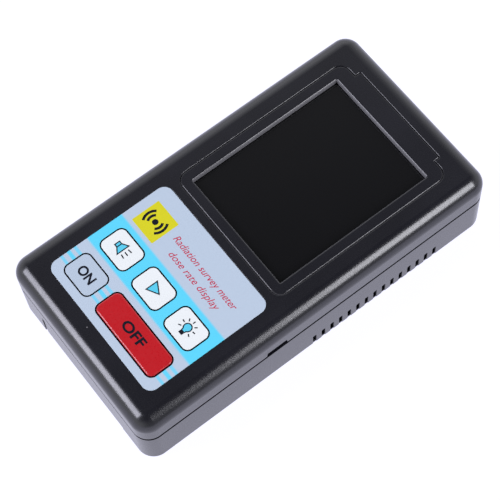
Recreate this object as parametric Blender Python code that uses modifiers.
"""Handheld geiger counter.

A pocket instrument in a two-shell plastic case: a recessed colour display in its own bezel, a
printed keypad with five keys, a battery door that slides off the keypad end, and a
Geiger-Mueller tube lying behind vent slots in the right-hand side.

The frame is in metres: +X across the case to the right, +Y along it towards the display end
and +Z out of the display face. The origin is the middle of the underside.
"""

import math

import bmesh
import bpy
from mathutils import Vector

MM = 0.001

# --- Case -------------------------------------------------------------------------------
CASE_WIDTH = 70.0 * MM
CASE_LENGTH = 133.0 * MM
CASE_HEIGHT = 28.0 * MM
CORNER_RADIUS = 5.7 * MM        # plan corners of the case
TOP_RADIUS = 5.0 * MM           # rounding from the display face into the sides
BOTTOM_RADIUS = 1.0 * MM
WALL = 2.5 * MM
TOP_WALL = 2.0 * MM
FLOOR = 2.0 * MM
SPLIT = 17.5 * MM               # height of the line between the two shells
GAP = 0.3 * MM                  # clearance between pieces that rest on each other
LOWER_INSET = 0.1 * MM          # the lower shell sits this far inside the upper one

# Half-lap joint between the shells: a tongue on the lower one, a rebate in the upper one.
TONGUE_SETBACK = 1.6 * MM
TONGUE_HEIGHT = 1.6 * MM

# --- Display ----------------------------------------------------------------------------
WINDOW_WIDTH = 44.0 * MM
WINDOW_LENGTH = 56.9 * MM
WINDOW_Y = 22.95 * MM
BEZEL_WIDTH = 51.4 * MM
BEZEL_BOTTOM = -9.2 * MM
BEZEL_TOP = 56.7 * MM
BEZEL_CORNER = 3.6 * MM
BEZEL_GAP = 0.2 * MM
BEZEL_PROUD = 0.05 * MM
BEZEL_RECESS = 1.1 * MM
BEZEL_EDGE = 0.2 * MM           # rounding of the plate's rim
TAB_WIDTH = 38.6 * MM
TAB_TOP = 58.8 * MM
COLLAR_WALL = 0.9 * MM
COLLAR_STANDOFF = 0.4 * MM      # between the collar and the glass under it
GLASS_TOP = 25.7 * MM
GLASS_WIDTH = 50.0 * MM
GLASS_LENGTH = 69.2 * MM
GLASS_Y = 21.1 * MM
GLASS_THICKNESS = 1.6 * MM
BACKLIGHT_THICKNESS = 0.9 * MM
DISPLAY_BOARD_LENGTH = 78.0 * MM
DISPLAY_BOARD_THICKNESS = 1.3 * MM
DISPLAY_BOARD_Y = 17.0 * MM

# --- Keypad -----------------------------------------------------------------------------
OVERLAY_WIDTH = 52.5 * MM
OVERLAY_BOTTOM = -57.4 * MM
OVERLAY_TOP = -12.5 * MM
OVERLAY_CORNER = 3.2 * MM
OVERLAY_THICKNESS = 0.33 * MM
OVERLAY_PROUD = 0.08 * MM
OVERLAY_SIDE_GAP = 0.1 * MM
KEY_PITCH = 16.4 * MM
KEY_WIDTH = 12.2 * MM
KEY_DEPTH = 9.1 * MM
KEY_CORNER = 2.0 * MM
KEY_GAP = 0.4 * MM              # open ring between a key and the overlay around it
KEY_TOP_ROW = -36.3 * MM
KEY_BOTTOM_ROW = -49.65 * MM
KEY_PROUD = 0.12 * MM
RED_KEY_PROUD = 0.5 * MM
KEY_FLANGE = 0.85 * MM          # how far the key's retaining flange reaches past its cap
KEY_FLANGE_THICKNESS = 0.8 * MM
KEY_TRAVEL = 0.3 * MM

# --- Boards and switches ----------------------------------------------------------------
BOARD_TOP = 19.7 * MM
BOARD_THICKNESS = 1.6 * MM
BOARD_WIDTH = 63.0 * MM
BOARD_LENGTH = 111.0 * MM
SWITCH_SIZE = 6.0 * MM
SWITCH_HEIGHT = 3.5 * MM
PLUNGER_RADIUS = 1.75 * MM
PLUNGER_HOLE_DEPTH = 1.2 * MM
HEADER_SIZE = (35.6 * MM, 2.5 * MM)
HEADER_SETBACK = 2.0 * MM       # from the display board's end to the header's middle
BACKLIGHT_SETBACK = 0.5 * MM    # the backlight frame's edge inside the glass's edge

# Boxes soldered under the main board: size, then place in X and Y.
MICROCONTROLLER = ((10.0 * MM, 10.0 * MM, 1.4 * MM), (0.0, 32.0 * MM))
REGULATOR = ((6.5 * MM, 3.5 * MM, 1.6 * MM), (12.0 * MM, -3.0 * MM))
CAPACITOR = ((12.0 * MM, 5.0 * MM, 8.0 * MM), (-14.0 * MM, 6.0 * MM))
CAPACITOR_CORNER = 0.8 * MM
INDUCTOR_XY = (3.0 * MM, 12.0 * MM)
INDUCTOR_HEIGHT = 8.0 * MM
INDUCTOR_RADIUS = 5.0 * MM
INDUCTOR_WAIST = 3.9 * MM
INDUCTOR_FLANGE = 1.2 * MM
BUZZER_XY = (-18.0 * MM, 30.0 * MM)
BUZZER_HEIGHT = 8.5 * MM
BUZZER_RADIUS = 6.0 * MM
BUZZER_HOLE = 1.2 * MM
BUZZER_HOLE_DEPTH = 2.0 * MM

# --- Fasteners --------------------------------------------------------------------------
CASE_SCREW_X = 28.8 * MM
CASE_SCREW_Y = 60.3 * MM
CASE_SCREW_RADIUS = 1.25 * MM
CASE_SCREW_HEAD_RADIUS = 2.5 * MM
CASE_SCREW_HEAD_HEIGHT = 1.8 * MM
CASE_SCREW_TIP = 23.8 * MM
CASE_SCREW_SEAT = 3.5 * MM      # height of the shoulder that the head pulls on
CASE_SCREW_HEAD_GAP = 0.4 * MM  # round the head in its counterbore
CASE_SCREW_TIP_GAP = 0.7 * MM   # between the screw's tip and the end of its hole
CROSS_LENGTH = 2.6 * MM         # the cross recess in a case screw's head
CROSS_WIDTH = 0.6 * MM
CROSS_DEPTH = 0.8 * MM
BOSS_RADIUS = 4.0 * MM
BOARD_SCREW_X = 29.3 * MM
BOARD_SCREW_YS = {"front": -22.0 * MM, "rear": 35.0 * MM}
BOARD_SCREW_RADIUS = 0.9 * MM
BOARD_SCREW_HEAD_RADIUS = 1.9 * MM
BOARD_SCREW_HEAD_HEIGHT = 1.3 * MM
BOARD_SCREW_TIP_SETBACK = 2.0 * MM   # the tip's distance below the inside of the top wall
POST_HOLE_SETBACK = 1.5 * MM         # the same for the end of the hole that it goes in
POST_RADIUS = 2.6 * MM

# --- Battery compartment and door -------------------------------------------------------
CELL_RADIUS = 5.25 * MM
CELL_LENGTH = 44.5 * MM
CELL_NUB_RADIUS = 1.9 * MM
CELL_NUB_HEIGHT = 1.0 * MM
CELL_PITCH = 11.4 * MM
CELL_Z = 7.75 * MM
BAY_HALF_WIDTH = 17.6 * MM
BAY_FRONT = -62.9 * MM
BAY_BACK = -13.2 * MM
BAY_ROOF = 14.2 * MM
BAY_WALL = 1.2 * MM
CONTACT_THICKNESS = 0.4 * MM
CONTACT_WIDTH = 10.0 * MM
CONTACT_HEIGHT = 9.0 * MM
CELL_LIP = 0.5 * MM             # chamfer round the ends of a cell's can
SPRING_WIRE = 0.5 * MM
SPRING_TURNS = 3
SPRING_TIP_RADIUS = 1.9 * MM
SPRING_BASE_RADIUS = 3.4 * MM
DOOR_HALF_WIDTH = 18.6 * MM
DOOR_THICKNESS = 1.9 * MM
DOOR_UNDERSIDE = 0.1 * MM
DOOR_FRONT = -66.25 * MM
DOOR_BACK = -11.5 * MM
DOOR_RAIL = 1.3 * MM
DOOR_RAIL_HEIGHT = 0.8 * MM
DOOR_END_HALF_WIDTH = 20.2 * MM
DOOR_END_THICKNESS = 1.15 * MM
DOOR_END_HEIGHT = 11.0 * MM
DOOR_PAD_MARGIN = 1.8 * MM      # the pad above the door reaches this far past its end plate
DOOR_PAD_BACK = 3.0 * MM        # and this far past its inner edge
DOOR_PAD_SKIN = 0.7 * MM        # plastic left over the door's pocket
GROOVE_STEP = 0.05 * MM         # keeps a groove's or rail's top just under the face beside it
GRIP_COUNT = 5
GRIP_PITCH = 1.8 * MM
GRIP_FIRST = 8.0 * MM           # from the door's front edge to the first grip groove
GRIP_HALF_LENGTH = 9.0 * MM
GRIP_WIDTH = 0.8 * MM
GRIP_DEPTH = 0.5 * MM

# --- Vents and pry notch ----------------------------------------------------------------
VENT_COUNT = 15
VENT_PITCH = 3.43 * MM
VENT_FIRST_Y = -2.7 * MM
VENT_WIDTH = 1.3 * MM
VENT_TOP = 6.0 * MM
VENT_SILL = 2.6 * MM            # the slots go right through the wall above this height
VENT_GROOVE = 0.65 * MM         # depth of the groove that carries each slot down to the underside
NOTCH_Y = -17.1 * MM
NOTCH_BASE = 8.3 * MM
NOTCH_CREST = 5.2 * MM
NOTCH_HEIGHT = 1.1 * MM

# --- Geiger-Mueller tube ----------------------------------------------------------------
TUBE_X = 26.2 * MM
TUBE_Z = 9.6 * MM
TUBE_RADIUS = 4.75 * MM
TUBE_FRONT = -24.0 * MM
TUBE_BACK = 50.0 * MM
TUBE_CAP_RADIUS = 5.1 * MM
TUBE_CAP_LENGTH = 5.2 * MM
TUBE_CAP_CHAMFER = 0.6 * MM
TUBE_PIN_RADIUS = 1.2 * MM
TUBE_PIN_LENGTH = 0.4 * MM
CLIP_WIDTH = 4.0 * MM
CLIP_METAL = 0.5 * MM
CLIP_FOOT_WIDTH = 3.0 * MM
CLIP_MOUTH = 7.0 * MM

OVER = 1.0 * MM                 # how far a cutter runs past the face that it opens

HALF_W = CASE_WIDTH / 2
HALF_L = CASE_LENGTH / 2
BOARD_UNDERSIDE = BOARD_TOP - BOARD_THICKNESS
TOP_INSIDE = CASE_HEIGHT - TOP_WALL
LOWER_RIM = SPLIT - GAP / 2
UPPER_RIM = SPLIT + GAP / 2
TONGUE_TOP = SPLIT + TONGUE_HEIGHT

# Key: name, centre in X, row in Y, cap width, height above the case's face.
KEYS = (
    ("sound", -KEY_PITCH, KEY_TOP_ROW, KEY_WIDTH, KEY_PROUD),
    ("play", 0.0, KEY_TOP_ROW, KEY_WIDTH, KEY_PROUD),
    ("light", KEY_PITCH, KEY_TOP_ROW, KEY_WIDTH, KEY_PROUD),
    ("on", -KEY_PITCH, KEY_BOTTOM_ROW, KEY_WIDTH, KEY_PROUD),
    ("off", KEY_PITCH / 2, KEY_BOTTOM_ROW, KEY_WIDTH + KEY_PITCH, RED_KEY_PROUD),
)
CORNERS = (
    ("front_left", -1, -1),
    ("front_right", 1, -1),
    ("rear_left", -1, 1),
    ("rear_right", 1, 1),
)

for old in list(bpy.data.objects):
    bpy.data.objects.remove(old, do_unlink=True)

PARTS = bpy.data.collections.new("geiger_counter")
CUTTERS = bpy.data.collections.new("cutters")
bpy.context.scene.collection.children.link(PARTS)
bpy.context.scene.collection.children.link(CUTTERS)


# --- Materials --------------------------------------------------------------------------
def finish(name, colour, roughness, metallic=0.0):
    """A plain Principled material."""
    mat = bpy.data.materials.new(name)
    mat.use_nodes = True
    shader = mat.node_tree.nodes["Principled BSDF"]
    shader.inputs["Base Color"].default_value = (*colour, 1.0)
    shader.inputs["Roughness"].default_value = roughness
    shader.inputs["Metallic"].default_value = metallic
    return mat


CASE_BLACK = (0.018, 0.018, 0.022)
BOARD_GREEN = (0.02, 0.16, 0.07)
CHIP_BLACK = (0.02, 0.02, 0.02)
NICKEL = (0.62, 0.62, 0.60)
KEY_COLOURS = {
    "sound": (0.86, 0.94, 1.0),
    "play": (0.86, 0.94, 1.0),
    "light": (0.86, 0.94, 1.0),
    "on": (0.50, 0.59, 0.78),
    "off": (0.58, 0.015, 0.02),
}


# --- Shapes -----------------------------------------------------------------------------
def bevel(bm, edges, radius, steps):
    """Round the given edges to a radius."""
    bmesh.ops.bevel(bm, geom=edges, offset=radius, segments=steps, profile=0.5, affect="EDGES")


def box(size, centre=(0, 0, 0), corner=0.0, top=0.0, bottom=0.0, corner_steps=6, edge_steps=4):
    """A box with rounded upright, top and bottom edges, as a bmesh."""
    bm = bmesh.new()
    bmesh.ops.create_cube(bm, size=1.0)
    bmesh.ops.scale(bm, vec=Vector(size), verts=bm.verts)
    half = size[2] / 2
    if corner:
        upright = [e for e in bm.edges if e.verts[0].co.z * e.verts[1].co.z < 0]
        bevel(bm, upright, corner, corner_steps)
    for side, radius in ((1, top), (-1, bottom)):
        if radius:
            rim = [e for e in bm.edges if all(abs(v.co.z - side * half) < 1e-7 for v in e.verts)]
            bevel(bm, rim, radius, edge_steps)
    bmesh.ops.translate(bm, vec=Vector(centre), verts=bm.verts)
    return bm


def drum(radius, height, centre=(0, 0, 0), steps=32):
    """A cylinder standing on Z, as a bmesh."""
    bm = bmesh.new()
    bmesh.ops.create_cone(
        bm, cap_ends=True, segments=steps, radius1=radius, radius2=radius, depth=height
    )
    bmesh.ops.translate(bm, vec=Vector(centre), verts=bm.verts)
    return bm


def gather(shapes):
    """Several bmeshes as one."""
    whole = bmesh.new()
    for shape in shapes:
        mesh = bpy.data.meshes.new("gathered")
        shape.to_mesh(mesh)
        shape.free()
        whole.from_mesh(mesh)
        bpy.data.meshes.remove(mesh)
    return whole


def span(low, high):
    """Size and centre of the box between two corners."""
    size = tuple(b - a for a, b in zip(low, high))
    centre = tuple((a + b) / 2 for a, b in zip(low, high))
    return size, centre


# --- Objects ----------------------------------------------------------------------------
def place(obj, location, parent=None, rotation=(0.0, 0.0, 0.0)):
    """Put an object at a place in the world, under an empty if one is given."""
    obj.location = Vector(location) - (parent.location if parent else Vector())
    obj.rotation_euler = rotation
    obj.parent = parent
    return obj


def part(name, bm, location, mat, parent=None, rotation=(0.0, 0.0, 0.0)):
    """One sub-part of the counter, from a bmesh around its own origin."""
    mesh = bpy.data.meshes.new(name)
    bm.to_mesh(mesh)
    bm.free()
    mesh.materials.append(mat)
    obj = bpy.data.objects.new(name, mesh)
    PARTS.objects.link(obj)
    return place(obj, location, parent, rotation)


def helper(name, bm, location=(0, 0, 0), rotation=(0.0, 0.0, 0.0)):
    """A shape that only cuts or joins another."""
    mesh = bpy.data.meshes.new(name)
    bm.to_mesh(mesh)
    bm.free()
    obj = bpy.data.objects.new(name, mesh)
    CUTTERS.objects.link(obj)
    obj.hide_render = True
    obj.display_type = "WIRE"
    return place(obj, location, None, rotation)


def combine(target, tool, operation):
    """Add a Boolean modifier."""
    mod = target.modifiers.new(f"{operation.lower()}_{tool.name}", "BOOLEAN")
    mod.operation = operation
    mod.object = tool
    mod.solver = "EXACT"


def cut(target, tool):
    combine(target, tool, "DIFFERENCE")


def join(target, tool):
    combine(target, tool, "UNION")


def turned(name, profile, location, mat, steps=24, rotation=(0.0, 0.0, 0.0)):
    """A shape turned about its own Z from (radius, height) points, listed from the top down."""
    mesh = bpy.data.meshes.new(name)
    points = [(radius, 0.0, height) for radius, height in profile]
    mesh.from_pydata(points, [(i, i + 1) for i in range(len(points) - 1)], [])
    mesh.materials.append(mat)
    obj = bpy.data.objects.new(name, mesh)
    PARTS.objects.link(obj)
    screw = obj.modifiers.new("turn", "SCREW")
    screw.steps = steps
    screw.render_steps = steps
    screw.use_merge_vertices = True
    screw.merge_threshold = 0.00005
    screw.use_smooth_shade = True
    return place(obj, location, None, rotation)


def smooth(obj, degrees=30):
    """Shade the round faces smooth and keep the corners sharp."""
    obj.data.shade_smooth()
    obj.data.set_sharp_from_angle(angle=math.radians(degrees))


ALONG_Y = (math.radians(-90), 0.0, 0.0)         # turns an object's +Z towards +Y
AGAINST_Y = (math.radians(90), 0.0, 0.0)


# --- Upper shell ------------------------------------------------------------------------
def arc(centre, radius, start, steps=6):
    """Points of a quarter turn, anticlockwise from a start angle in degrees."""
    turn = [math.radians(start + 90 * i / steps) for i in range(steps + 1)]
    return [(centre[0] + radius * math.cos(a), centre[1] + radius * math.sin(a)) for a in turn]


def bezel_plate(grow, low, high, top=0.0):
    """The bezel's plate: a rounded rectangle with a wide tab at the far end, as a bmesh."""
    half, radius = BEZEL_WIDTH / 2 + grow, BEZEL_CORNER + grow
    bottom, shoulder = BEZEL_BOTTOM - grow, BEZEL_TOP + grow
    tab_half, tab_top = TAB_WIDTH / 2 + grow, TAB_TOP + grow
    inner = half - radius
    points = arc((-inner, bottom + radius), radius, 180)
    points += arc((inner, bottom + radius), radius, 270)
    points += arc((inner, shoulder - radius), radius, 0)
    points += [(tab_half, shoulder), (tab_half, tab_top), (-tab_half, tab_top)]
    points += [(-tab_half, shoulder)]
    points += arc((-inner, shoulder - radius), radius, 90)
    bm = bmesh.new()
    face = bm.faces.new([bm.verts.new((x, y, low)) for x, y in points])
    raised = bmesh.ops.extrude_face_region(bm, geom=[face])["geom"]
    moved = [item for item in raised if isinstance(item, bmesh.types.BMVert)]
    bmesh.ops.translate(bm, vec=Vector((0, 0, high - low)), verts=moved)
    bmesh.ops.recalc_face_normals(bm, faces=bm.faces)
    if top:
        rim = [e for e in bm.edges if all(abs(v.co.z - high) < 1e-7 for v in e.verts)]
        bevel(bm, rim, top, 2)
    return bm


def build_upper_shell():
    size = (CASE_WIDTH, CASE_LENGTH, CASE_HEIGHT - UPPER_RIM)
    centre_z = (CASE_HEIGHT + UPPER_RIM) / 2
    outer = box(size, corner=CORNER_RADIUS, top=TOP_RADIUS, corner_steps=8, edge_steps=8)
    shell = part("upper_shell", outer, (0, 0, centre_z), finish("case_upper", CASE_BLACK, 0.55))

    inside = span(
        (-HALF_W + WALL, -HALF_L + WALL, UPPER_RIM - OVER),
        (HALF_W - WALL, HALF_L - WALL, TOP_INSIDE),
    )
    cavity = box(*inside, corner=CORNER_RADIUS - WALL, top=WALL)
    cut(shell, helper("upper_cavity", cavity))

    setback = TONGUE_SETBACK - GAP
    rebate = span(
        (-HALF_W + setback, -HALF_L + setback, UPPER_RIM - OVER),
        (HALF_W - setback, HALF_L - setback, TONGUE_TOP + GAP),
    )
    corner = CORNER_RADIUS - setback
    cut(shell, helper("rim_rebate", box(*rebate, corner=corner, corner_steps=8)))

    root = TOP_WALL / 4                         # how far a boss is let into the top wall
    boss_low = TONGUE_TOP + GAP
    boss_height = TOP_INSIDE + root - boss_low
    post_low = BOARD_TOP + GAP
    post_height = TOP_INSIDE + root - post_low
    hole_top = CASE_SCREW_TIP + CASE_SCREW_TIP_GAP
    post_hole_top = TOP_INSIDE - POST_HOLE_SETBACK
    bosses, holes = [], []
    for _, side_x, side_y in CORNERS:
        x, y = side_x * CASE_SCREW_X, side_y * CASE_SCREW_Y
        bosses.append(drum(BOSS_RADIUS, boss_height, (x, y, boss_low + boss_height / 2)))
        depth = hole_top - boss_low + OVER
        holes.append(drum(CASE_SCREW_RADIUS + GAP, depth, (x, y, hole_top - depth / 2), 24))
    for y in BOARD_SCREW_YS.values():
        for x in (-BOARD_SCREW_X, BOARD_SCREW_X):
            bosses.append(drum(POST_RADIUS, post_height, (x, y, post_low + post_height / 2), 24))
            depth = post_hole_top - post_low + OVER
            at = (x, y, post_hole_top - depth / 2)
            holes.append(drum(BOARD_SCREW_RADIUS + GAP, depth, at, 16))
    join(shell, helper("upper_bosses", gather(bosses)))
    cut(shell, helper("upper_boss_holes", gather(holes)))

    recess_low = CASE_HEIGHT - BEZEL_RECESS
    recess = bezel_plate(BEZEL_GAP, recess_low, CASE_HEIGHT + OVER)
    cut(shell, helper("bezel_recess", recess))
    window = (
        WINDOW_WIDTH + 2 * (COLLAR_WALL + GAP),
        WINDOW_LENGTH + 2 * (COLLAR_WALL + GAP),
        2 * TOP_WALL,
    )
    cut(shell, helper("shell_window", box(window, (0, WINDOW_Y, TOP_INSIDE))))

    overlay_low = CASE_HEIGHT + OVERLAY_PROUD - OVERLAY_THICKNESS - GAP
    pocket = span(
        (-OVERLAY_WIDTH / 2 - OVERLAY_SIDE_GAP, OVERLAY_BOTTOM - OVERLAY_SIDE_GAP, overlay_low),
        (OVERLAY_WIDTH / 2 + OVERLAY_SIDE_GAP, OVERLAY_TOP + OVERLAY_SIDE_GAP, CASE_HEIGHT + OVER),
    )
    cut(shell, helper("overlay_pocket", box(*pocket, corner=OVERLAY_CORNER)))
    cut(shell, helper("shell_key_holes", key_openings(TOP_INSIDE - OVER, CASE_HEIGHT + OVER)))
    cut(shell, helper("pry_notch", notch_shape()))
    smooth(shell)


def key_openings(low, high):
    """The holes that the five keys stand in."""
    holes = []
    for _, x, y, width, _ in KEYS:
        size = (width + 2 * KEY_GAP, KEY_DEPTH + 2 * KEY_GAP, high - low)
        holes.append(box(size, (x, y, (low + high) / 2), corner=KEY_CORNER + KEY_GAP))
    return gather(holes)


def notch_shape():
    """The trapezoid notch in the right-hand rim, as a box narrowed towards its top."""
    low = UPPER_RIM - OVER
    depth = TONGUE_SETBACK - GAP / 2
    size, centre = span(
        (HALF_W - depth, NOTCH_Y - NOTCH_BASE / 2, low),
        (HALF_W + OVER, NOTCH_Y + NOTCH_BASE / 2, UPPER_RIM + NOTCH_HEIGHT),
    )
    bm = box(size, centre)
    slope = (NOTCH_BASE - NOTCH_CREST) / 2 / NOTCH_HEIGHT
    for vert in bm.verts:
        run_in = slope * (vert.co.z - UPPER_RIM)
        vert.co.y -= math.copysign(run_in, vert.co.y - NOTCH_Y)
    return bm


# --- Lower shell ------------------------------------------------------------------------
def build_lower_shell():
    half_w, half_l = HALF_W - LOWER_INSET, HALF_L - LOWER_INSET
    outer = box(
        (2 * half_w, 2 * half_l, LOWER_RIM),
        corner=CORNER_RADIUS - LOWER_INSET,
        bottom=BOTTOM_RADIUS,
        corner_steps=8,
        edge_steps=3,
    )
    at = (0, 0, LOWER_RIM / 2)
    shell = part("lower_shell", outer, at, finish("case_lower", CASE_BLACK, 0.6))

    tongue = span(
        (-HALF_W + TONGUE_SETBACK, -HALF_L + TONGUE_SETBACK, LOWER_RIM / 2),
        (HALF_W - TONGUE_SETBACK, HALF_L - TONGUE_SETBACK, TONGUE_TOP),
    )
    corner = CORNER_RADIUS - TONGUE_SETBACK
    join(shell, helper("rim_tongue", box(*tongue, corner=corner, corner_steps=8)))
    cavity = span(
        (-HALF_W + WALL, -HALF_L + WALL, FLOOR), (HALF_W - WALL, HALF_L - WALL, TONGUE_TOP + OVER)
    )
    cut(shell, helper("lower_cavity", box(*cavity, corner=CORNER_RADIUS - WALL)))

    bay = span(
        (-BAY_HALF_WIDTH - BAY_WALL, -HALF_L + WALL - GAP, FLOOR / 2),
        (BAY_HALF_WIDTH + BAY_WALL, BAY_BACK + BAY_WALL, BAY_ROOF + BAY_WALL),
    )
    join(shell, helper("battery_bay", box(*bay)))
    pad_half = DOOR_END_HALF_WIDTH + DOOR_PAD_MARGIN
    pad_top = DOOR_UNDERSIDE + DOOR_THICKNESS + GAP + DOOR_PAD_SKIN
    pad = span(
        (-pad_half, -HALF_L + WALL - GAP, FLOOR / 2),
        (pad_half, DOOR_BACK + DOOR_PAD_BACK, pad_top),
    )
    join(shell, helper("door_pad", box(*pad)))

    boss_low = FLOOR / 2
    boss_height = TONGUE_TOP - boss_low
    bosses, holes, counterbores = [], [], []
    for _, side_x, side_y in CORNERS:
        x, y = side_x * CASE_SCREW_X, side_y * CASE_SCREW_Y
        bosses.append(drum(BOSS_RADIUS, boss_height, (x, y, boss_low + boss_height / 2)))
        through = TONGUE_TOP + 2 * OVER
        holes.append(drum(CASE_SCREW_RADIUS + GAP, through, (x, y, through / 2 - OVER), 24))
        sink = CASE_SCREW_SEAT + OVER
        at = (x, y, CASE_SCREW_SEAT - sink / 2)
        radius = CASE_SCREW_HEAD_RADIUS + CASE_SCREW_HEAD_GAP
        counterbores.append(drum(radius, sink, at, 28))
    join(shell, helper("lower_bosses", gather(bosses)))
    cut(shell, helper("case_screw_holes", gather(holes)))
    cut(shell, helper("case_screw_counterbores", gather(counterbores)))

    inside = span((-BAY_HALF_WIDTH, BAY_FRONT, -OVER), (BAY_HALF_WIDTH, BAY_BACK, BAY_ROOF))
    cut(shell, helper("battery_bay_inside", box(*inside)))

    beyond = -HALF_L - OVER
    ceiling = DOOR_UNDERSIDE + DOOR_THICKNESS + GAP
    edge = DOOR_HALF_WIDTH + GAP
    opening = span((-edge, beyond, -OVER), (edge, DOOR_BACK + GAP, ceiling))
    cut(shell, helper("door_opening", box(*opening)))
    groove_floor = ceiling - DOOR_RAIL_HEIGHT - 2 * GAP
    grooves = []
    for side in (-1, 1):
        size, centre = span(
            (edge - OVER, beyond, groove_floor),
            (edge + DOOR_RAIL, DOOR_BACK + GAP, ceiling - GROOVE_STEP),
        )
        grooves.append(box(size, (side * centre[0], centre[1], centre[2])))
    cut(shell, helper("door_grooves", gather(grooves)))
    end_half = DOOR_END_HALF_WIDTH + GAP
    end = span(
        (-end_half, beyond, -OVER),
        (end_half, DOOR_FRONT + DOOR_END_THICKNESS + GAP, DOOR_END_HEIGHT + GAP),
    )
    cut(shell, helper("door_end_opening", box(*end)))
    cut(shell, helper("vent_grooves", vent_row(VENT_GROOVE, -OVER, 0)))
    cut(shell, helper("vent_slots", vent_row(WALL + OVER, VENT_SILL, GROOVE_STEP)))
    smooth(shell)


def vent_row(reach, low, inset):
    """Boxes over the vents in the right-hand side, reaching in from it and up from a height."""
    boxes = []
    half_width = VENT_WIDTH / 2 - inset
    for i in range(VENT_COUNT):
        y = VENT_FIRST_Y + i * VENT_PITCH
        size, centre = span(
            (HALF_W - reach, y - half_width, low),
            (HALF_W + OVER, y + half_width, VENT_TOP - inset),
        )
        boxes.append(box(size, centre))
    return gather(boxes)


# --- Battery door -----------------------------------------------------------------------
def build_battery_door():
    """The door: a plate with side rails under the case and an upturned end."""
    top = DOOR_UNDERSIDE + DOOR_THICKNESS
    middle = Vector((0, (DOOR_FRONT + DOOR_BACK) / 2, (DOOR_UNDERSIDE + top) / 2))
    size = (2 * DOOR_HALF_WIDTH, DOOR_BACK - DOOR_FRONT, DOOR_THICKNESS)
    slide = empty("battery_door_slide", middle)
    door = part("battery_door", box(size), middle, finish("door", CASE_BLACK, 0.6), slide)

    inner_face = DOOR_FRONT + DOOR_END_THICKNESS
    end = span(
        (-DOOR_END_HALF_WIDTH, DOOR_FRONT, DOOR_UNDERSIDE),
        (DOOR_END_HALF_WIDTH, inner_face, DOOR_END_HEIGHT),
    )
    join(door, helper("door_end", box(*end)))
    rails = []
    for side in (-1, 1):
        size, centre = span(
            (DOOR_HALF_WIDTH - OVER, inner_face - GAP, top - DOOR_RAIL_HEIGHT),
            (DOOR_HALF_WIDTH + DOOR_RAIL, DOOR_BACK - GAP, top - GROOVE_STEP),
        )
        rails.append(box(size, (side * centre[0], centre[1], centre[2])))
    join(door, helper("door_rails", gather(rails)))

    grooves = []
    for i in range(GRIP_COUNT):
        y = DOOR_FRONT + GRIP_FIRST + i * GRIP_PITCH
        groove = span(
            (-GRIP_HALF_LENGTH, y - GRIP_WIDTH / 2, -OVER),
            (GRIP_HALF_LENGTH, y + GRIP_WIDTH / 2, DOOR_UNDERSIDE + GRIP_DEPTH),
        )
        grooves.append(box(*groove))
    cut(door, helper("door_grip", gather(grooves)))


# --- Display ----------------------------------------------------------------------------
def build_display():
    low = CASE_HEIGHT - BEZEL_RECESS + GAP
    high = CASE_HEIGHT + BEZEL_PROUD
    centre = Vector((0, WINDOW_Y, (low + high) / 2))
    plate = bezel_plate(0.0, low, high, BEZEL_EDGE)
    bmesh.ops.translate(plate, vec=-centre, verts=plate.verts)
    bezel = part("display_bezel", plate, centre, finish("bezel", CASE_BLACK, 0.5))
    collar_low = GLASS_TOP + COLLAR_STANDOFF
    outside = (WINDOW_WIDTH + 2 * COLLAR_WALL, WINDOW_LENGTH + 2 * COLLAR_WALL)
    collar = (*outside, (low + high) / 2 - collar_low)
    join(bezel, helper("bezel_collar", box(collar, (0, WINDOW_Y, collar_low + collar[2] / 2))))
    opening = (WINDOW_WIDTH, WINDOW_LENGTH, 4 * TOP_WALL)
    cut(bezel, helper("bezel_window", box(opening, (0, WINDOW_Y, TOP_INSIDE))))
    smooth(bezel)

    size = (GLASS_WIDTH, GLASS_LENGTH, GLASS_THICKNESS)
    at = (0, GLASS_Y, GLASS_TOP - GLASS_THICKNESS / 2)
    part("display_glass", box(size), at, finish("glass_off", (0.01, 0.01, 0.011), 0.15))
    frame_top = GLASS_TOP - GLASS_THICKNESS - GAP
    size = (
        GLASS_WIDTH - 2 * BACKLIGHT_SETBACK,
        GLASS_LENGTH - 2 * BACKLIGHT_SETBACK,
        BACKLIGHT_THICKNESS,
    )
    at = (0, GLASS_Y, frame_top - BACKLIGHT_THICKNESS / 2)
    part("display_backlight", box(size), at, finish("backlight", (0.8, 0.8, 0.78), 0.5))
    board_top = frame_top - BACKLIGHT_THICKNESS - GAP
    size = (GLASS_WIDTH, DISPLAY_BOARD_LENGTH, DISPLAY_BOARD_THICKNESS)
    at = (0, DISPLAY_BOARD_Y, board_top - DISPLAY_BOARD_THICKNESS / 2)
    part("display_board", box(size), at, finish("display_board", (0.5, 0.02, 0.02), 0.5))
    header_low = BOARD_TOP + GAP
    header_high = board_top - DISPLAY_BOARD_THICKNESS - GAP
    y = DISPLAY_BOARD_Y - DISPLAY_BOARD_LENGTH / 2 + HEADER_SETBACK
    size = (*HEADER_SIZE, header_high - header_low)
    at = (0, y, (header_low + header_high) / 2)
    part("display_header", box(size), at, finish("header", CHIP_BLACK, 0.6))


# --- Keypad -----------------------------------------------------------------------------
def empty(name, location):
    """An empty that stands on a joint's axis and carries what moves with it."""
    obj = bpy.data.objects.new(name, None)
    PARTS.objects.link(obj)
    obj.location = location
    return obj


def build_overlay():
    """The printed film, with a hole round each key."""
    high = CASE_HEIGHT + OVERLAY_PROUD
    low = high - OVERLAY_THICKNESS
    size, centre = span(
        (-OVERLAY_WIDTH / 2, OVERLAY_BOTTOM, low), (OVERLAY_WIDTH / 2, OVERLAY_TOP, high)
    )
    film = box(size, corner=OVERLAY_CORNER)
    overlay = part("keypad_overlay", film, centre, finish("overlay", (0.50, 0.59, 0.78), 0.4))
    cut(overlay, helper("overlay_key_holes", key_openings(low - OVER, high + OVER)))


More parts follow.
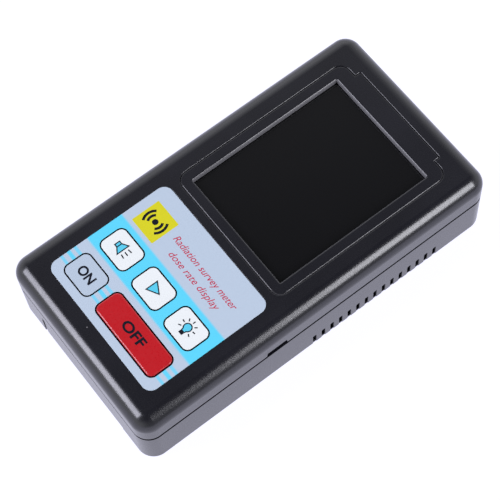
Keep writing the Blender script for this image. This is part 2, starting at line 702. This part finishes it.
def build_keys():
    """Five key caps, each over a tact switch whose plunger moves with it."""
    flange_top = TOP_INSIDE - GAP
    flange_low = flange_top - KEY_FLANGE_THICKNESS
    plunger_top = flange_low - GAP
    switch_low = BOARD_TOP + GAP
    switch_top = switch_low + SWITCH_HEIGHT
    plunger_low = switch_top - PLUNGER_HOLE_DEPTH + KEY_TRAVEL + GAP
    for name, x, y, width, proud in KEYS:
        top = CASE_HEIGHT + proud
        slide = empty(f"key_{name}_slide", Vector((x, y, top)))
        low = (flange_low + flange_top) / 2
        height = top - low
        shape = box((width, KEY_DEPTH, height), corner=KEY_CORNER, top=proud * 0.8, edge_steps=2)
        mat = finish(f"key_{name}", KEY_COLOURS[name], 0.35)
        key = part(f"key_{name}", shape, (x, y, low + height / 2), mat, slide)
        wide = (width + 2 * KEY_FLANGE, KEY_DEPTH + 2 * KEY_FLANGE, KEY_FLANGE_THICKNESS)
        flange = box(wide, (x, y, (flange_low + flange_top) / 2), corner=KEY_CORNER + KEY_FLANGE)
        join(key, helper(f"key_{name}_flange", flange))
        smooth(key)

        shape = drum(PLUNGER_RADIUS, plunger_top - plunger_low, steps=24)
        at = (x, y, (plunger_low + plunger_top) / 2)
        mat = finish(f"plunger_{name}", (0.03, 0.03, 0.03), 0.4)
        smooth(part(f"switch_{name}_plunger", shape, at, mat, slide))

        shape = box((SWITCH_SIZE, SWITCH_SIZE, SWITCH_HEIGHT))
        mat = finish(f"switch_{name}", (0.05, 0.05, 0.05), 0.5)
        body = part(f"switch_{name}_body", shape, (x, y, switch_low + SWITCH_HEIGHT / 2), mat)
        hole = drum(PLUNGER_RADIUS + GAP, 2 * PLUNGER_HOLE_DEPTH, (x, y, switch_top), 24)
        cut(body, helper(f"switch_{name}_hole", hole))


# --- Main board and what is on it -------------------------------------------------------
def build_main_board():
    size = (BOARD_WIDTH, BOARD_LENGTH, BOARD_THICKNESS)
    at = (0, 0, BOARD_TOP - BOARD_THICKNESS / 2)
    board = part("main_board", box(size), at, finish("main_board", BOARD_GREEN, 0.5))
    holes = []
    for y in BOARD_SCREW_YS.values():
        for x in (-BOARD_SCREW_X, BOARD_SCREW_X):
            holes.append(drum(BOARD_SCREW_RADIUS + GAP, 3 * BOARD_THICKNESS, (x, y, at[2]), 16))
    cut(board, helper("main_board_holes", gather(holes)))

    under = BOARD_UNDERSIDE - GAP
    black = finish("chip", CHIP_BLACK, 0.5)
    for name, (size, at) in (("microcontroller", MICROCONTROLLER), ("voltage_regulator", REGULATOR)):
        part(name, box(size), (*at, under - size[2] / 2), black)
    size, at = CAPACITOR
    shape = box(size, corner=CAPACITOR_CORNER, corner_steps=2)
    mat = finish("hv_capacitor", (0.45, 0.12, 0.03), 0.4)
    part("hv_capacitor", shape, (*at, under - size[2] / 2), mat)

    radius, waist, height, flange = (
        INDUCTOR_RADIUS, INDUCTOR_WAIST, INDUCTOR_HEIGHT, INDUCTOR_FLANGE
    )
    profile = (
        (0, 0), (radius, 0), (radius, -flange), (waist, -flange),
        (waist, flange - height), (radius, flange - height), (radius, -height), (0, -height),
    )
    mat = finish("ferrite", (0.04, 0.035, 0.03), 0.6)
    turned("hv_inductor", profile, (*INDUCTOR_XY, under), mat)

    hole_top = BUZZER_HOLE_DEPTH - BUZZER_HEIGHT
    profile = (
        (0, 0), (BUZZER_RADIUS, 0), (BUZZER_RADIUS, -BUZZER_HEIGHT),
        (BUZZER_HOLE, -BUZZER_HEIGHT), (BUZZER_HOLE, hole_top), (0, hole_top),
    )
    turned("buzzer", profile, (*BUZZER_XY, under), black)


def build_tube():
    """The Geiger-Mueller tube along the right-hand side, in two clips under the board."""
    length = TUBE_BACK - TUBE_FRONT
    at = (TUBE_X, (TUBE_FRONT + TUBE_BACK) / 2, TUBE_Z)
    mat = finish("tube_metal", (0.5, 0.5, 0.5), 0.3, 1.0)
    smooth(part("gm_tube", drum(TUBE_RADIUS, length), at, mat, None, ALONG_Y))
    brass = finish("tube_cap", (0.7, 0.5, 0.2), 0.3, 1.0)
    steel = finish("tube_clip", NICKEL, 0.35, 1.0)
    ends = (("front", TUBE_FRONT, -1, AGAINST_Y), ("rear", TUBE_BACK, 1, ALONG_Y))
    length = TUBE_CAP_LENGTH - TUBE_PIN_LENGTH
    profile = (
        (0, TUBE_CAP_LENGTH), (TUBE_PIN_RADIUS, TUBE_CAP_LENGTH), (TUBE_PIN_RADIUS, length),
        (TUBE_CAP_RADIUS - TUBE_CAP_CHAMFER, length),
        (TUBE_CAP_RADIUS, length - TUBE_CAP_CHAMFER), (TUBE_CAP_RADIUS, 0), (0, 0),
    )
    for end, y, outward, turn in ends:
        at = (TUBE_X, y + outward * GAP, TUBE_Z)
        turned(f"gm_tube_{end}_cap", profile, at, brass, rotation=turn)
        build_clip(end, y + outward * (GAP + length / 2), steel)


def build_clip(end, y, mat):
    """A sprung clip: an open ring round the tube's cap on a foot under the board."""
    inside = TUBE_CAP_RADIUS + GAP
    outside = inside + CLIP_METAL
    ring = part(f"tube_clip_{end}", drum(outside, CLIP_WIDTH), (TUBE_X, y, TUBE_Z), mat, None, ALONG_Y)
    foot = span(
        (TUBE_X - CLIP_FOOT_WIDTH / 2, y - CLIP_WIDTH / 2 + GAP, TUBE_Z + outside - CLIP_METAL),
        (TUBE_X + CLIP_FOOT_WIDTH / 2, y + CLIP_WIDTH / 2 - GAP, BOARD_UNDERSIDE - GAP),
    )
    join(ring, helper(f"clip_{end}_foot", box(*foot)))
    bore = drum(inside, CLIP_WIDTH + 2 * OVER)
    cut(ring, helper(f"clip_{end}_bore", bore, (TUBE_X, y, TUBE_Z), ALONG_Y))
    mouth = (CLIP_MOUTH, CLIP_WIDTH + 2 * OVER, outside)
    cut(ring, helper(f"clip_{end}_mouth", box(mouth, (TUBE_X, y, TUBE_Z - outside * 0.75))))
    smooth(ring)


# --- Batteries --------------------------------------------------------------------------
def coil_points(length, turns, tip_radius, base_radius, per_turn=10):
    """Points of a conical spring along +Z, narrow at its tip."""
    count = turns * per_turn
    points = []
    for i in range(count + 1):
        share = i / count
        angle = 2 * math.pi * turns * share
        radius = base_radius + (tip_radius - base_radius) * share
        points.append((radius * math.cos(angle), radius * math.sin(angle), length * share))
    return points


def build_spring(name, x, base_y, tip_y, mat):
    """A battery spring, from its plate to the cell's flat end."""
    reach = abs(tip_y - base_y) - SPRING_WIRE
    outward = math.copysign(1, tip_y - base_y)
    curve = bpy.data.curves.new(name, "CURVE")
    curve.dimensions = "3D"
    curve.bevel_depth = SPRING_WIRE / 2
    curve.bevel_resolution = 2
    curve.use_fill_caps = True
    spline = curve.splines.new("POLY")
    points = coil_points(reach, SPRING_TURNS, SPRING_TIP_RADIUS, SPRING_BASE_RADIUS)
    spline.points.add(len(points) - 1)
    for point, xyz in zip(spline.points, points):
        point.co = (*xyz, 1.0)
    curve.materials.append(mat)
    obj = bpy.data.objects.new(name, curve)
    PARTS.objects.link(obj)
    at = (x, base_y + outward * SPRING_WIRE / 2, CELL_Z)
    place(obj, at, None, ALONG_Y if outward > 0 else AGAINST_Y)


def build_batteries():
    """Three cells in series, the middle one turned round, with their springs and plates."""
    front_plate = BAY_FRONT + GAP
    back_plate = BAY_BACK - GAP - CONTACT_THICKNESS
    front_face = front_plate + CONTACT_THICKNESS + GAP
    back_face = back_plate - GAP
    nickel = finish("contact_nickel", NICKEL, 0.3, 1.0)
    cell_finish = finish("cell_wrap", (0.04, 0.16, 0.30), 0.35)
    shoulder = CELL_LENGTH - CELL_NUB_HEIGHT
    profile = (
        (0, CELL_LENGTH), (CELL_NUB_RADIUS, CELL_LENGTH), (CELL_NUB_RADIUS, shoulder),
        (CELL_RADIUS - CELL_LIP, shoulder), (CELL_RADIUS, shoulder - CELL_LIP),
        (CELL_RADIUS, CELL_LIP), (CELL_RADIUS - CELL_LIP, 0), (0, 0),
    )
    for name, x in (("left", -CELL_PITCH), ("middle", 0.0), ("right", CELL_PITCH)):
        forward = name != "middle"
        flat_y = back_face - CELL_LENGTH if forward else front_face + CELL_LENGTH
        turn = ALONG_Y if forward else AGAINST_Y
        turned(f"battery_cell_{name}", profile, (x, flat_y, CELL_Z), cell_finish, rotation=turn)
        if forward:
            build_spring(f"battery_spring_{name}", x, front_face, flat_y - GAP, nickel)
        else:
            build_spring(f"battery_spring_{name}", x, back_face, flat_y + GAP, nickel)

    pair = CONTACT_WIDTH + CELL_PITCH
    plates = (
        ("front_pair", -CELL_PITCH / 2, front_plate, pair),
        ("front_single", CELL_PITCH, front_plate, CONTACT_WIDTH),
        ("rear_single", -CELL_PITCH, back_plate, CONTACT_WIDTH),
        ("rear_pair", CELL_PITCH / 2, back_plate, pair),
    )
    for name, x, y, width in plates:
        shape = box((width, CONTACT_THICKNESS, CONTACT_HEIGHT))
        part(f"contact_plate_{name}", shape, (x, y + CONTACT_THICKNESS / 2, CELL_Z), nickel)


# --- Fasteners --------------------------------------------------------------------------
def screw_profile(head_radius, head_height, radius, length):
    """A pan-head screw with its head down, from the tip at the top to the head's face."""
    point = radius
    crown = head_height * 0.35
    return (
        (0, length), (radius * 0.3, length), (radius, length - point), (radius, 0),
        (head_radius, 0), (head_radius, crown - head_height),
        (head_radius - crown, -head_height), (0, -head_height),
    )


def build_screws():
    steel = finish("screw_steel", (0.25, 0.25, 0.26), 0.4, 1.0)
    seat = CASE_SCREW_SEAT - GAP
    profile = screw_profile(
        CASE_SCREW_HEAD_RADIUS, CASE_SCREW_HEAD_HEIGHT, CASE_SCREW_RADIUS, CASE_SCREW_TIP - seat
    )
    for corner, side_x, side_y in CORNERS:
        at = Vector((side_x * CASE_SCREW_X, side_y * CASE_SCREW_Y, seat))
        screw = turned(f"case_screw_{corner}", profile, at, steel, steps=20)
        face = at - Vector((0, 0, CASE_SCREW_HEAD_HEIGHT))
        for i, plan in enumerate(((CROSS_LENGTH, CROSS_WIDTH), (CROSS_WIDTH, CROSS_LENGTH))):
            arm = box((*plan, 2 * CROSS_DEPTH))
            cut(screw, helper(f"case_screw_{corner}_cross_{i}", arm, face))

    under = BOARD_UNDERSIDE - GAP
    length = TOP_INSIDE - BOARD_SCREW_TIP_SETBACK - under
    profile = screw_profile(
        BOARD_SCREW_HEAD_RADIUS, BOARD_SCREW_HEAD_HEIGHT, BOARD_SCREW_RADIUS, length
    )
    for row, y in BOARD_SCREW_YS.items():
        for side, x in (("left", -BOARD_SCREW_X), ("right", BOARD_SCREW_X)):
            turned(f"board_screw_{row}_{side}", profile, (x, y, under), steel, steps=12)


build_upper_shell()
build_lower_shell()
build_battery_door()
build_display()
build_overlay()
build_keys()
build_main_board()
build_tube()
build_batteries()
build_screws()
